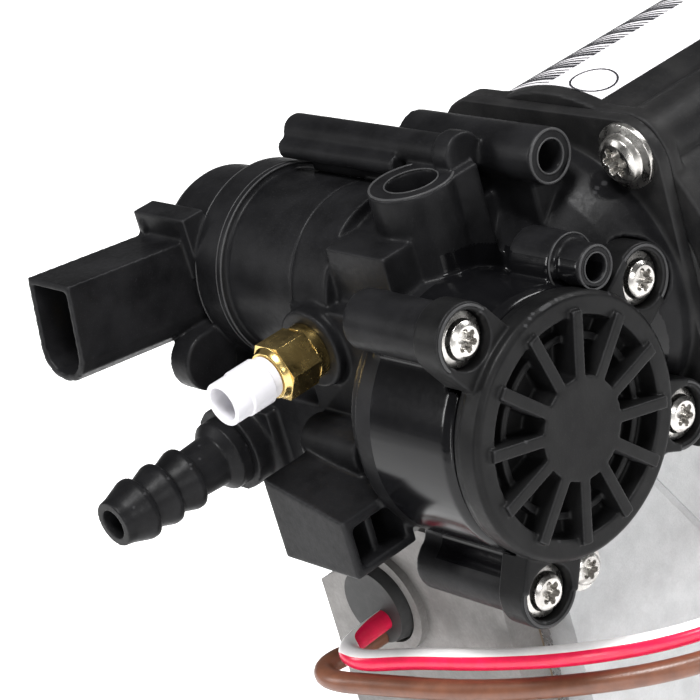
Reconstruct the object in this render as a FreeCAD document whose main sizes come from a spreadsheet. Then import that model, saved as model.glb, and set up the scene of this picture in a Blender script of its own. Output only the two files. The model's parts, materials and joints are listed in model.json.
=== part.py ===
import FreeCAD, Part
import os
from math import cos, pi, radians, sin, tan

import Sketcher
from FreeCAD import Placement, Rotation, Vector

# Air-suspension pump. +Z is up, -Y is the front (where the hoses plug in), +X is the capped side.
# The origin is the middle of the base. Most places are given from the dryer point: where the
# dryer's axis, along Y, meets the front face of its flange.

SIZES = {
    # the dryer point
    "dryer_x": 19.05, "dryer_y": -10.5, "dryer_z": 142.0,
    # fits
    "fit_gap": 0.05, "air_gap": 0.3,
    # flange, dome and dryer canister
    "flange_width": 65.0, "flange_height": 78.0, "flange_corner": 11.0, "flange_depth": 3.2,
    "flange_screw_x": 24.0, "flange_screw_z": 31.0, "low_screw_x": 16.5, "low_screw_z": 33.0,
    "dome_radius": 32.0, "dome_shoulder": 4.0, "dome_depth": 24.0,
    "canister_radius": 41.3, "canister_wall": 7.8, "canister_length": 112.0,
    # exhaust chamber and its cap
    "cap_x": 36.0, "cap_y": -40.0, "cap_z": -10.0,
    "cap_radius": 28.0, "spoke_reach": 24.5, "spoke_width": 2.7, "spoke_rise": 1.4, "hub_radius": 11.2,
    "cap_depth": 9.0, "ear_reach": 34.7, "ear_radius": 7.8, "sleeve_radius": 6.4,
    "chamber_length": 29.0, "chamber_bore": 21.5,
    # solenoid valve
    "coil_y": -33.6, "coil_z": 12.1, "coil_shell": 20.4, "coil_collar": 22.0, "coil_length": 22.0,
    "coil_seat_x": -30.0, "coil_barrel": 19.0, "barrel_end": -79.4, "plunger_radius": 5.0,
    "socket_x": -71.6, "socket_y": -33.6, "socket_z": 10.3,
    "socket_wide": 15.6, "socket_tall": 23.0, "socket_tilt": 8.2,
    # outlet fitting
    "outlet_x": -23.0, "outlet_z": 7.1, "outlet_boss_radius": 9.0, "outlet_boss_y": -57.8,
    "fitting_across_flats": 12.0, "fitting_bore": 3.0, "plug_radius": 5.2,
    # hose nozzle
    "nozzle_x": -57.0, "nozzle_z": -21.5, "nozzle_base_y": -63.0, "nozzle_length": 34.0,
    "nozzle_radius": 5.7, "barb_radius": 7.3, "nozzle_bore": 3.4,
    # crankcase and cylinder
    "crank_x": -32.0, "crank_z": -84.0, "rod_y": -11.5, "throw": 6.0,
    "case_left": -60.0, "case_right": 4.0, "case_front": -48.0, "case_back": 24.0,
    "case_top": -42.0, "case_bottom": -124.0,
    "case_chamfer_wide": 42.0, "case_chamfer_tall": 23.0, "cavity_radius": 27.0,
    "bore_radius": 20.0, "liner_wall": 1.95,
    # motor
    "motor_radius": 34.0, "motor_wall": 2.0, "motor_back": 118.0, "shaft_radius": 4.0,
    # base
    "bracket_thick": 3.0, "foot_radius": 11.0, "foot_height": 15.0,
    # wires
    "wire_diameter": 4.8, "grommet_x": -36.4, "grommet_z": -64.0,
}

doc = FreeCAD.newDocument("shock_suspension_pump")
sheet = doc.addObject("Spreadsheet::Sheet", "Sizes")
for row, (alias, value) in enumerate(SIZES.items(), start=1):
    sheet.set(f"A{row}", alias)
    sheet.set(f"B{row}", str(value))
    sheet.setAlias(f"B{row}", alias)
doc.recompute()


class Size:
    """A length that also keeps its formula, so every object stays tied to the sheet."""

    def __init__(self, number, text):
        self.number = float(number)
        self.text = text

    def __add__(self, other):
        other = as_size(other)
        return Size(self.number + other.number, f"({self.text} + {other.text})")

    def __sub__(self, other):
        other = as_size(other)
        return Size(self.number - other.number, f"({self.text} - {other.text})")

    def __mul__(self, factor):
        return Size(self.number * factor, f"({self.text} * {factor:.9f})")

    def __truediv__(self, factor):
        return self * (1.0 / factor)

    def __neg__(self):
        return self * -1.0

    def __radd__(self, other):
        return as_size(other) + self

    def __rsub__(self, other):
        return as_size(other) - self

    __rmul__ = __mul__


def as_size(value):
    if isinstance(value, Size):
        return value
    return Size(value, f"({value:.9f})")


class Sheet:
    """The sheet's cells by name."""

    def __getattr__(self, name):
        return Size(sheet.get(name), f"Sizes.{name}")


S = Sheet()
NODES = []

WAYS = {
    "+x": Rotation(Vector(0, 1, 0), 90),
    "-x": Rotation(Vector(0, 1, 0), -90),
    "+y": Rotation(Vector(1, 0, 0), -90),
    "-y": Rotation(Vector(1, 0, 0), 90),
    "+z": Rotation(),
    "-z": Rotation(Vector(1, 0, 0), 180),
}


# ---------------------------------------------------------------- building blocks

def bind(thing, name, value):
    thing.setExpression(name, as_size(value).text)


def put(thing, spot, way="+z"):
    """Place a thing with its own Z axis along a way, at a spot from the dryer point."""
    thing.Placement = Placement(Vector(), WAYS[way] if isinstance(way, str) else way)
    origin = (S.dryer_x, S.dryer_y, S.dryer_z)
    for axis, base, value in zip("xyz", origin, spot):
        bind(thing, "Placement.Base." + axis, base + value)
    return thing


def rod(radius, length, spot, way="+z"):
    thing = doc.addObject("Part::Cylinder", "Rod")
    bind(thing, "Radius", radius)
    bind(thing, "Height", length)
    return put(thing, spot, way)


def cone(first, second, length, spot, way="+z"):
    thing = doc.addObject("Part::Cone", "Cone")
    bind(thing, "Radius1", first)
    bind(thing, "Radius2", second)
    bind(thing, "Height", length)
    return put(thing, spot, way)


def block(low, high):
    """A box between two corners."""
    thing = doc.addObject("Part::Box", "Block")
    for name, start, end in zip(("Length", "Width", "Height"), low, high):
        bind(thing, name, as_size(end) - start)
    return put(thing, low)


def torus(ring_radius, section_radius, spot, way):
    thing = doc.addObject("Part::Torus", "Torus")
    bind(thing, "Radius1", ring_radius)
    bind(thing, "Radius2", section_radius)
    return put(thing, spot, way)


def prism(across_flats, length, spot, way, sides=6):
    thing = doc.addObject("Part::Prism", "Prism")
    thing.Polygon = sides
    bind(thing, "Circumradius", as_size(across_flats) / (2 * cos(pi / sides)))
    bind(thing, "Height", length)
    return put(thing, spot, way)


def fuse(*parts):
    if len(parts) == 1:
        return parts[0]
    thing = doc.addObject("Part::MultiFuse", "Fused")
    thing.Shapes = list(parts)
    thing.Refine = True
    return thing


def cut(base, *tools):
    thing = doc.addObject("Part::Cut", "Cut")
    thing.Base = base
    thing.Tool = fuse(*tools)
    thing.Refine = True
    return thing


def common(first, second):
    thing = doc.addObject("Part::Common", "Common")
    thing.Base = first
    thing.Tool = second
    return thing


def group(*parts):
    """Several separate solids that belong in one node."""
    thing = doc.addObject("Part::Compound", "Group")
    thing.Links = list(parts)
    return thing


def node(name, thing):
    thing.Label = name
    NODES.append(thing)
    return thing


def ring(outer, inner, length, spot, way):
    return cut(rod(outer, length, spot, way), rod(inner, length, spot, way))


def origin_plane(body, role):
    return [plane for plane in body.Origin.OriginFeatures if plane.Role == role][0]


def new_sketch(body, role):
    sketch = body.newObject("Sketcher::SketchObject", "Outline")
    sketch.AttachmentSupport = [(origin_plane(body, role), "")]
    sketch.MapMode = "FlatFace"
    return sketch


def pin_point(sketch, line, x, y):
    """Tie the start of a line to a place in the sketch."""
    for kind, axis, value in (("DistanceX", -2, x), ("DistanceY", -1, y)):
        if abs(value.number) < 1e-9:
            sketch.addConstraint(Sketcher.Constraint("PointOnObject", line, 1, axis))
        else:
            index = sketch.addConstraint(Sketcher.Constraint(kind, -1, 1, line, 1, value.number))
            sketch.setExpression(f"Constraints[{index}]", value.text)


def polygon(sketch, points):
    points = [(as_size(x), as_size(y)) for x, y in points]
    places = [Vector(x.number, y.number, 0) for x, y in points]
    lines = [
        sketch.addGeometry(Part.LineSegment(start, end))
        for start, end in zip(places, places[1:] + places[:1])
    ]
    for line, following in zip(lines, lines[1:] + lines[:1]):
        sketch.addConstraint(Sketcher.Constraint("Coincident", line, 2, following, 1))
    for line, (x, y) in zip(lines, points):
        pin_point(sketch, line, x, y)


def turned(points, spot, way):
    """A turned piece: points are (radius, distance along the axis)."""
    body = doc.addObject("PartDesign::Body", "Turned")
    sketch = new_sketch(body, "XZ_Plane")
    polygon(sketch, points)
    revolution = body.newObject("PartDesign::Revolution", "Revolution")
    revolution.Profile = sketch
    revolution.ReferenceAxis = (sketch, ["V_Axis"])
    revolution.Angle = 360
    return put(body, spot, way)


def padded(points, thickness, spot, way):
    """A flat piece: points are its outline, and its thickness goes along its way."""
    body = doc.addObject("PartDesign::Body", "Padded")
    sketch = new_sketch(body, "XY_Plane")
    polygon(sketch, points)
    pad = body.newObject("PartDesign::Pad", "Pad")
    pad.Profile = sketch
    bind(pad, "Length", thickness)
    return put(body, spot, way)


def rounded_rectangle(sketch, width, height, radius):
    half_wide = width.number / 2 - radius.number
    half_tall = height.number / 2 - radius.number
    quarters = ((1, 1, 0), (-1, 1, 90), (-1, -1, 180), (1, -1, 270))
    arcs = []
    for side_x, side_y, start in quarters:
        centre = Vector(side_x * half_wide, side_y * half_tall, 0)
        circle = Part.Circle(centre, Vector(0, 0, 1), radius.number)
        arcs.append(sketch.addGeometry(Part.ArcOfCircle(circle, radians(start), radians(start + 90))))
    straight = ("Horizontal", "Vertical", "Horizontal", "Vertical")
    for arc, following, direction in zip(arcs, arcs[1:] + arcs[:1], straight):
        start = sketch.Geometry[arc].EndPoint
        end = sketch.Geometry[following].StartPoint
        line = sketch.addGeometry(Part.LineSegment(start, end))
        sketch.addConstraint(Sketcher.Constraint("Tangent", arc, 2, line, 1))
        sketch.addConstraint(Sketcher.Constraint("Tangent", line, 2, following, 1))
        sketch.addConstraint(Sketcher.Constraint(direction, line))
    for arc in arcs[1:]:
        sketch.addConstraint(Sketcher.Constraint("Equal", arcs[0], arc))
    sketch.addConstraint(Sketcher.Constraint("Symmetric", arcs[0], 3, arcs[2], 3, -1, 1))
    sizes = (
        (Sketcher.Constraint("Radius", arcs[0], radius.number), radius),
        (Sketcher.Constraint("DistanceX", arcs[1], 3, arcs[0], 3, 2 * half_wide), width - radius * 2),
        (Sketcher.Constraint("DistanceY", arcs[3], 3, arcs[0], 3, 2 * half_tall), height - radius * 2),
    )
    for constraint, value in sizes:
        index = sketch.addConstraint(constraint)
        sketch.setExpression(f"Constraints[{index}]", value.text)


def rounded_plate(width, height, radius, thickness, spot, way):
    """A plate with rounded corners, centred on its spot."""
    body = doc.addObject("PartDesign::Body", "Plate")
    sketch = new_sketch(body, "XY_Plane")
    rounded_rectangle(sketch, as_size(width), as_size(height), as_size(radius))
    pad = body.newObject("PartDesign::Pad", "Pad")
    pad.Profile = sketch
    bind(pad, "Length", thickness)
    return put(body, spot, way)


def coil_spring(radius, wire, turns, height, spot, way):
    helix = doc.addObject("Part::Helix", "Helix")
    bind(helix, "Radius", radius)
    bind(helix, "Height", height)
    bind(helix, "Pitch", as_size(height) / turns)
    helix.SegmentLength = 0.5
    section = doc.addObject("Part::Circle", "WireSection")
    section.Placement = Placement(Vector(), Rotation(Vector(1, 0, 0), 90))
    bind(section, "Placement.Base.x", radius)
    bind(section, "Radius", as_size(wire) / 2)
    sweep = doc.addObject("Part::Sweep", "Coil")
    sweep.Sections = [section]
    sweep.Spine = (helix, [])
    sweep.Solid = True
    sweep.Frenet = True
    return put(sweep, spot, way)


def lobed_screw(head_radius, head_height, shank_radius, shank_length, spot, way):
    """A washer-head screw with a six-lobed recess. The spot is under the head, and way is outward."""
    flange_height = head_height * 0.28
    dome_radius = head_radius * 0.74
    profile = (
        (0, -shank_length),
        (shank_radius, -shank_length),
        (shank_radius, 0),
        (head_radius, 0),
        (head_radius, flange_height),
        (dome_radius, flange_height * 1.5),
        (dome_radius * 0.94, head_height * 0.8),
        (dome_radius * 0.72, head_height),
        (0, head_height),
    )
    screw = turned(profile, spot, way)
    recess_depth = head_height * 0.62
    lobe_circle = head_radius * 0.33
    lobe_radius = head_radius * 0.12
    tools = [rod(lobe_circle * 0.93, recess_depth, lift(spot, way, head_height - recess_depth), way)]
    for index in range(6):
        angle = index * pi / 3
        centre = around(lift(spot, way, head_height - recess_depth), way, lobe_circle, angle)
        tools.append(rod(lobe_radius, recess_depth, centre, way))
    return cut(screw, *tools)


def lift(spot, way, distance):
    """Move a spot along its way."""
    step = WAYS[way].multVec(Vector(0, 0, 1))
    return tuple(value + distance * part for value, part in zip(spot, (step.x, step.y, step.z)))


def around(spot, way, radius, angle):
    """Move a spot sideways from its axis."""
    step = WAYS[way].multVec(Vector(cos(angle), sin(angle), 0))
    return tuple(value + radius * part for value, part in zip(spot, (step.x, step.y, step.z)))


# ---------------------------------------------------------------- shared places

CAP_AXIS = (S.cap_y, S.cap_z)
EAR_ANGLES = (123, 32, -25, -116.5)
FLANGE_SCREWS = (
    (S.flange_screw_x, S.flange_screw_z),
    (S.low_screw_x, -S.low_screw_z),
    (-S.flange_screw_x, -S.flange_screw_z),
)
CAP_BACK = S.cap_x - S.cap_depth
CHAMBER_END = CAP_BACK - S.chamber_length
EAR_FACE = S.cap_x - 8.0
HEAD_BASE = S.case_top


def on_cap_axis(x):
    return (x, S.cap_y, S.cap_z)


def ear_spot(x, angle):
    return (
        x,
        S.cap_y + S.ear_reach * cos(radians(angle)),
        S.cap_z + S.ear_reach * sin(radians(angle)),
    )


def on_coil_axis(x):
    return (x, S.coil_y, S.coil_z)


def on_crank_axis(y):
    return (S.crank_x, y, S.crank_z)


def on_cylinder_axis(x):
    return (x, S.rod_y, S.crank_z)


# ---------------------------------------------------------------- valve head

def flange_and_dome():
    """The rounded square flange with the domed cover in front of it."""
    flange = rounded_plate(S.flange_width, S.flange_height, S.flange_corner, S.flange_depth, (0, 0, 0), "+y")
    radius = S.dome_radius
    dome = turned(
        (
            (0, 0),
            (radius, 0),
            (radius, S.dome_shoulder),
            (radius * 0.975, S.dome_shoulder + 2.0),
            (radius * 0.90, S.dome_depth * 0.46),
            (radius * 0.76, S.dome_depth * 0.68),
            (radius * 0.52, S.dome_depth * 0.88),
            (radius * 0.25, S.dome_depth),
            (0, S.dome_depth),
        ),
        (0, 0, 0),
        "-y",
    )
    return [flange, dome]


def chamber_walls():
    """The exhaust chamber and the four screw sleeves along it."""
    walls = [rod(S.cap_radius + 0.3, S.chamber_length, on_cap_axis(CHAMBER_END), "+x")]
    walls.append(rod(S.cap_radius - 3.0, 6.0, on_cap_axis(CHAMBER_END - 5.0), "+x"))
    sleeve_end = S.cap_x - 12.0
    lengths = (23.0, 20.0, 20.0, 27.0)
    for angle, length in zip(EAR_ANGLES, lengths):
        walls.append(rod(S.sleeve_radius, length, ear_spot(sleeve_end - length, angle), "+x"))
        walls.append(sleeve_web(sleeve_end - length, length, angle))
    return walls


def sleeve_web(start, length, angle):
    """The rib that joins a screw sleeve to the chamber."""
    width = S.sleeve_radius * 1.5
    web = doc.addObject("Part::Box", "Web")
    bind(web, "Length", length)
    bind(web, "Width", width)
    bind(web, "Height", S.ear_reach - 12.0)
    turn = Rotation(Vector(1, 0, 0), angle - 90)
    inner = Vector(0, cos(radians(angle)), sin(radians(angle))) * 12.0
    side = Vector(0, -sin(radians(angle)), cos(radians(angle)))
    spot = (
        start,
        S.cap_y + inner.y + width * 0.5 * side.y,
        S.cap_z + inner.z + width * 0.5 * side.z,
    )
    return put(web, spot, turn)


def head_block():
    """The lower gallery that ties the ports together and stands on the crankcase."""
    gallery = block((-52.0, -55.0, -33.0), (6.0, -16.0, -9.0))
    spine = block((-18.5, -50.0, -12.0), (0.0, -12.0, 28.0))
    left = block((-46.0, -50.0, -12.0), (-16.0, -22.0, 6.0))
    pad = block((-17.0, -44.0, HEAD_BASE), (2.0, -6.0, -30.0))
    rear = block((-28.0, -30.0, -30.0), (24.0, -2.0, 6.0))
    return [gallery, spine, left, pad, rear]


def head_bosses():
    """The bosses, tubes and rods that stand out of the head."""
    shell_end = rod(S.coil_shell, 11.5, on_coil_axis(S.coil_seat_x), "+x")
    seat = rod(S.coil_shell - 3.0, 22.0, on_coil_axis(S.coil_seat_x), "+x")
    seam_down = WAYS["+y"].multiply(Rotation(Vector(0, 0, 1), 90))
    outlet = rod(S.outlet_boss_radius, 34.0, (S.outlet_x, S.outlet_boss_y, S.outlet_z), seam_down)
    outlet_neck = block((-30.0, -55.0, -10.0), (-8.0, -28.0, 15.5))
    cup = rod(9.5, 27.0, (-5.3, -33.5, 10.3), "+z")
    cup_back = block((-13.8, -33.5, 10.0), (3.2, -22.0, 37.3))
    upper_rod = rod(3.8, 50.0, (-54.0, -23.0, 39.0), "+x")
    upper_rod_end = rod(5.0, 5.0, (-4.0, -23.0, 39.0), "+x")
    lower_rod = rod(2.4, 38.0, (-54.0, -27.0, 36.6), "+x")
    upper_web = block((-48.0, -26.0, 30.0), (-2.0, -20.5, 38.0))
    boss_tube = rod(6.0, 41.0, (-25.0, -13.5, 36.0), "+x")
    boss_web = block((-22.0, -17.0, 18.0), (12.0, -9.5, 34.0))
    small_tube = rod(4.8, 16.0, (17.0, -23.8, 18.0), "+x")
    small_sleeve = rod(6.4, 12.0, (14.0, -23.8, 18.0), "+x")
    small_web = block((14.0, -28.0, 4.0), (26.0, -20.0, 16.0))
    nozzle_boss = rod(10.0, 20.0, (S.nozzle_x, S.nozzle_base_y, S.nozzle_z), "+y")
    nozzle_arm = block((S.nozzle_x, -58.0, -30.0), (-46.0, -44.0, -13.0))
    half_round = rod(5.6, 18.0, (-28.0, -58.5, -14.6), "+x")
    return [
        shell_end, seat, outlet, outlet_neck, cup, cup_back, upper_rod, upper_rod_end, lower_rod,
        upper_web, boss_tube, boss_web, small_tube, small_sleeve, small_web, nozzle_boss, nozzle_arm,
        half_round,
    ]


def box_socket():
    """The wedge-shaped socket beside the chamber, which opens toward the cap side."""
    outline = ((-26.0, -34.0), (-2.0, -34.0), (-2.0, -20.2), (-26.0, -14.4))
    return padded(outline, 17.0, (0, -60.0, 0), "-y")


def box_socket_hollow():
    wall = 2.2
    hollow = block((-20.0, -77.0 + wall, -34.0 + wall), (-2.0, -60.0 - wall, -20.5 - wall))
    rib = block((-20.0, -69.3, -32.0), (-5.0, -67.3, -22.0))
    return cut(hollow, rib)


def head_hollows():
    """Every bore in the valve head."""
    chamber = rod(S.chamber_bore, S.chamber_length, on_cap_axis(CHAMBER_END + 8.0), "+x")
    guide = rod(4.0, 12.0, on_cap_axis(CHAMBER_END - 2.0), "+x")
    screw_holes = [rod(2.6, 14.0, ear_spot(S.cap_x - 26.0, angle), "+x") for angle in EAR_ANGLES]
    flange_holes = [
        rod(3.2, S.flange_depth + 8.0, (x, -4.0, z), "+y")
        for x, z in FLANGE_SCREWS
    ]
    counterbores = [
        rod(8.4, 12.0, (x, 0, z), "-y")
        for x, z in FLANGE_SCREWS
    ]
    dryer_mouth = rod(12.0, 18.0, (0, -12.0, 0), "+y")
    cup_bore = rod(5.6, 13.5, (-5.3, -33.5, 23.8), "+z")
    boss_bore = rod(3.4, 16.0, (0.5, -13.5, 36.0), "+x")
    small_bore = rod(2.9, 14.0, (19.5, -23.8, 18.0), "+x")
    outlet_thread = rod(5.5, 12.0, (S.outlet_x, S.outlet_boss_y, S.outlet_z), "+y")
    outlet_seat = rod(3.6, 9.0, (S.outlet_x, S.outlet_boss_y + 11.0, S.outlet_z), "+y")
    outlet_port = rod(2.0, 12.0, (S.outlet_x, S.outlet_boss_y + 19.0, S.outlet_z), "+y")
    nozzle_hole = rod(5.05, 14.0, (S.nozzle_x, S.nozzle_base_y, S.nozzle_z), "+y")
    seat_port = rod(1.6, 10.0, on_coil_axis(S.coil_seat_x), "+x")
    coil_room = rod(S.coil_shell + S.fit_gap, 60.0, on_coil_axis(S.coil_seat_x - 60.0), "+x")
    collar_room = rod(S.coil_collar + S.fit_gap, 38.1, on_coil_axis(S.coil_seat_x - 60.0), "+x")
    cap_room = rod(S.cap_radius + S.air_gap, 20.0, on_cap_axis(CAP_BACK + 2.4), "+x")
    ear_rooms = []
    for angle in EAR_ANGLES:
        ear_rooms.append(rod(S.ear_radius + S.air_gap, 24.0, ear_spot(S.cap_x - 12.0, angle), "+x"))
        ear_rooms.append(ear_wall(S.cap_x - 12.0, angle, 24.0, S.air_gap))
    return [
        chamber, guide, *screw_holes, *flange_holes, *counterbores, dryer_mouth, cup_bore, boss_bore,
        small_bore, outlet_thread, outlet_seat, outlet_port, nozzle_hole, seat_port, coil_room, collar_room,
        cap_room, *ear_rooms, box_socket_hollow(),
    ]


def valve_head():
    solid = fuse(*flange_and_dome(), *chamber_walls(), *head_block(), *head_bosses(), box_socket())
    node("valve_head", cut(solid, *head_hollows()))


# ---------------------------------------------------------------- spoked cap and exhaust valve

def cap_spokes(body, start, height):
    """Twelve raised spokes, from the hub out over the ring."""
    sketch = new_sketch(body, "XY_Plane")
    bind(sketch, "AttachmentOffset.Base.z", start)
    inner = S.hub_radius - 2.0
    half = S.spoke_width / 2
    turn = radians(15)

    def corner(along, across):
        return (along * cos(turn) - across * sin(turn), along * sin(turn) + across * cos(turn))

    reach = S.spoke_reach
    polygon(sketch, (corner(inner, -half), corner(reach, -half), corner(reach, half), corner(inner, half)))
    pad = body.newObject("PartDesign::Pad", "Spoke")
    pad.Profile = sketch
    bind(pad, "Length", height)
    doc.recompute()
    pattern = body.newObject("PartDesign::PolarPattern", "Spokes")
    pattern.Originals = [pad]
    pattern.Axis = (sketch, ["N_Axis"])
    pattern.Angle = 360
    pattern.Occurrences = 12
    body.Tip = pattern


def spoked_cap():
    """Hub, deep pockets with a middle wall, and an outer ring; the spokes cross the pockets."""
    ring_top = S.cap_depth - S.spoke_rise
    floor = S.cap_depth * 0.3
    outer = S.cap_radius
    body = turned(
        (
            (0, 0),
            (S.chamber_bore - S.fit_gap, 0),
            (S.chamber_bore - S.fit_gap, 2.4),
            (outer, 2.4),
            (outer, ring_top - 1.0),
            (outer - 1.0, ring_top),
            (S.spoke_reach - 1.4, ring_top),
            (S.spoke_reach - 2.0, floor),
            (S.hub_radius + 8.2, floor),
            (S.hub_radius + 8.2, ring_top - 2.2),
            (S.hub_radius + 6.6, ring_top - 2.2),
            (S.hub_radius + 6.6, floor),
            (S.hub_radius, floor),
            (S.hub_radius - 0.3, S.cap_depth),
            (0, S.cap_depth),
        ),
        on_cap_axis(CAP_BACK),
        "+x",
    )
    cap_spokes(body, floor, S.cap_depth - floor)
    ears = []
    for angle in EAR_ANGLES:
        start = S.cap_x - 12.0
        ears.append(rod(S.ear_radius, 7.0, ear_spot(start, angle), "+x"))
        ears.append(ear_wall(start, angle, 7.6))
    holes = [rod(2.3, 20.0, ear_spot(S.cap_x - 16.0, angle), "+x") for angle in EAR_ANGLES]
    recesses = [rod(6.1, 12.0, ear_spot(EAR_FACE, angle), "+x") for angle in EAR_ANGLES]
    chamber = rod(S.cap_radius + 4.0, 3.4, on_cap_axis(S.cap_x - 12.0 - 3.4), "+x")
    clear = rod(S.cap_radius + 0.3, 6.4, on_cap_axis(CAP_BACK - 4.0), "+x")
    register = rod(S.chamber_bore - S.fit_gap, 8.0, on_cap_axis(CAP_BACK - 4.0), "+x")
    ear_solids = cut(fuse(*ears), cut(clear, register), chamber, *recesses, *holes)
    pocket = rod(12.0, 1.6, on_cap_axis(CAP_BACK), "+x")
    node("spoked_cap", cut(fuse(body, ear_solids), pocket, *holes, *recesses))


def ear_wall(start, angle, length, gap=0.0):
    """The wall that runs from the ring out to an ear."""
    reach = S.ear_reach - S.cap_radius + 4.0
    width = S.ear_radius * 2 + 2 * gap
    wall = doc.addObject("Part::Box", "EarWall")
    bind(wall, "Length", length)
    bind(wall, "Width", width)
    bind(wall, "Height", reach)
    turn = Rotation(Vector(1, 0, 0), angle - 90)
    inner = (S.cap_radius - 4.0)
    side = Vector(0, -sin(radians(angle)), cos(radians(angle)))
    spot = (
        start,
        S.cap_y + inner * cos(radians(angle)) + width * 0.5 * side.y,
        S.cap_z + inner * sin(radians(angle)) + width * 0.5 * side.z,
    )
    return put(wall, spot, turn)


def cap_fasteners():
    screws = [
        lobed_screw(as_size(5.7), as_size(3.4), as_size(2.25), as_size(14.0), ear_spot(EAR_FACE, angle), "+x")
        for angle in EAR_ANGLES
    ]
    node("cap_screws", group(*screws))
    seal = ring(S.chamber_bore - S.fit_gap, S.chamber_bore - 2.5, 1.4, on_cap_axis(CAP_BACK - 1.4), "+x")
    node("cap_seal", seal)


def exhaust_valve():
    """The piston that opens the exhaust, its lip seal and its return spring."""
    start = CHAMBER_END + 8.6
    radius = S.chamber_bore - S.fit_gap
    piston = turned(
        (
            (0, -6.0),
            (3.95, -6.0),
            (3.95, 0),
            (radius - 0.6, 0),
            (radius - 0.6, 1.6),
            (radius - 2.4, 1.6),
            (radius - 2.4, 3.6),
            (radius - 0.6, 3.6),
            (radius - 0.6, 4.8),
            (8.0, 4.8),
            (8.0, 3.2),
            (0, 3.2),
        ),
        on_cap_axis(start),
        "+x",
    )
    node("exhaust_piston", piston)
    seal = ring(radius, S.chamber_bore - 2.4, 2.0, on_cap_axis(start + 1.6), "+x")
    node("exhaust_piston_seal", seal)
    spring_start = start + 4.8
    spring_room = CAP_BACK - spring_start
    spring = coil_spring(11.0, as_size(1.3), 4, spring_room - 2.1, on_cap_axis(spring_start + 0.95), "+x")
    node("exhaust_spring", spring)


# ---------------------------------------------------------------- solenoid valve

def d_outline(wide, tall):
    """A D with its flat side up. x is along the width, y is up."""
    half = wide * 0.5
    shoulder = tall * -0.25
    points = [(half, tall * 0.5), (half * -1.0, tall * 0.5)]
    for index in range(7):
        angle = radians(180 + 30 * index)
        points.append((half * cos(angle), shoulder + tall * 0.25 * sin(angle)))
    return points


SOCKET_TILT = Rotation(Vector(1, 0, 0), 90 - S.socket_tilt.number)
SOCKET_LENGTH = 53.5
SOCKET_DEPTH = 16.0


def socket_spot(distance, x=0.0, z=0.0):
    """A spot along the tilted plug socket."""
    tilt = radians(S.socket_tilt.number)
    return (
        S.socket_x + x,
        S.socket_y - distance * cos(tilt) + z * sin(tilt),
        S.socket_z + distance * sin(tilt) + z * cos(tilt),
    )


def solenoid_housing():
    """The moulded coil shell with its collar, barrel, plug socket, top lug and lower lobe."""
    seat = S.coil_seat_x
    back = seat - S.coil_length
    collar_back = back - 9.0
    barrel_length = collar_back - S.barrel_end
    shell = rod(S.coil_shell, S.coil_length, on_coil_axis(back), "+x")
    collar = rod(S.coil_collar, 9.0, on_coil_axis(collar_back), "+x")
    barrel = turned(
        (
            (0, 0), (S.coil_barrel, 0), (S.coil_barrel, barrel_length - 3.0),
            (S.coil_barrel - 1.0, barrel_length - 1.0), (S.coil_barrel - 3.0, barrel_length),
            (0, barrel_length),
        ),
        on_coil_axis(collar_back),
        "-x",
    )
    wide = S.socket_wide
    tall = S.socket_tall
    outer = padded(d_outline(wide, tall), SOCKET_LENGTH, socket_spot(0), SOCKET_TILT)
    floor = SOCKET_LENGTH - SOCKET_DEPTH
    inner = padded(d_outline(wide - 3.2, tall - 3.2), SOCKET_DEPTH, socket_spot(floor), SOCKET_TILT)
    lug = block((S.barrel_end, -54.0, 16.0), (collar_back, -48.0, 30.6))
    pin = rod(1.3, 1.0, (S.barrel_end + 2.4, -54.6, 27.0), "+y")
    lobe = rod(6.8, 6.5, (collar_back - 5.0, -58.6, -1.6), "+x")
    lobe_web = block((collar_back - 5.0, -58.6, -8.4), (collar_back + 1.0, -44.0, 5.2))
    void = rod(S.coil_shell - 3.8, S.coil_length - 3.0, on_coil_axis(seat - S.coil_length + 2.0), "+x")
    rear_bore = rod(as_size(6.5), 60.0, on_coil_axis(seat - 60.0), "+x")
    cap_room = rod(as_size(13.0), 12.0, on_coil_axis(S.barrel_end - 9.0), "+x")
    outlet_room = rod(
        S.outlet_boss_radius + S.fit_gap, 40.0, (S.outlet_x, S.outlet_boss_y, S.outlet_z), "+y"
    )
    solid = fuse(shell, collar, barrel, outer, lug, pin, lobe, lobe_web)
    node("solenoid_housing", cut(solid, inner, void, rear_bore, cap_room, outlet_room))


def solenoid_insides():
    seat = S.coil_seat_x
    coil_start = on_coil_axis(seat - S.coil_length + 3.0)
    coil = ring(S.coil_shell - 3.9, as_size(7.4), S.coil_length - 5.0, coil_start, "+x")
    node("solenoid_coil", coil)
    tube_start = seat - 28.0
    tube = ring(as_size(6.45), S.plunger_radius + S.fit_gap, 27.0, on_coil_axis(tube_start), "+x")
    node("guide_tube", fuse(tube, rod(6.45, 1.5, on_coil_axis(tube_start - 1.5), "+x")))
    node("solenoid_core", rod(S.plunger_radius, 10.0, on_coil_axis(tube_start), "+x"))
    plunger_start = seat - 14.4
    plunger = cut(
        rod(S.plunger_radius, 12.4, on_coil_axis(plunger_start), "+x"),
        rod(2.8, 2.5, on_coil_axis(plunger_start), "+x"),
    )
    node("solenoid_plunger", plunger)
    node("plunger_seal", rod(3.4, 1.6, on_coil_axis(seat - 2.0), "+x"))
    spring = coil_spring(2.0, as_size(0.6), 4, as_size(5.4), on_coil_axis(tube_start + 10.35), "+x")
    node("plunger_spring", spring)


def solenoid_end_cap():
    """The cover pressed into the barrel's outer end."""
    cover = turned(
        ((0, 0), (12.95, 0), (12.95, 2.4), (12.0, 3.0), (4.0, 3.0), (4.0, 2.2), (0, 2.2)),
        on_coil_axis(S.barrel_end + 3.0),
        "-x",
    )
    node("solenoid_end_cap", cover)


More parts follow.
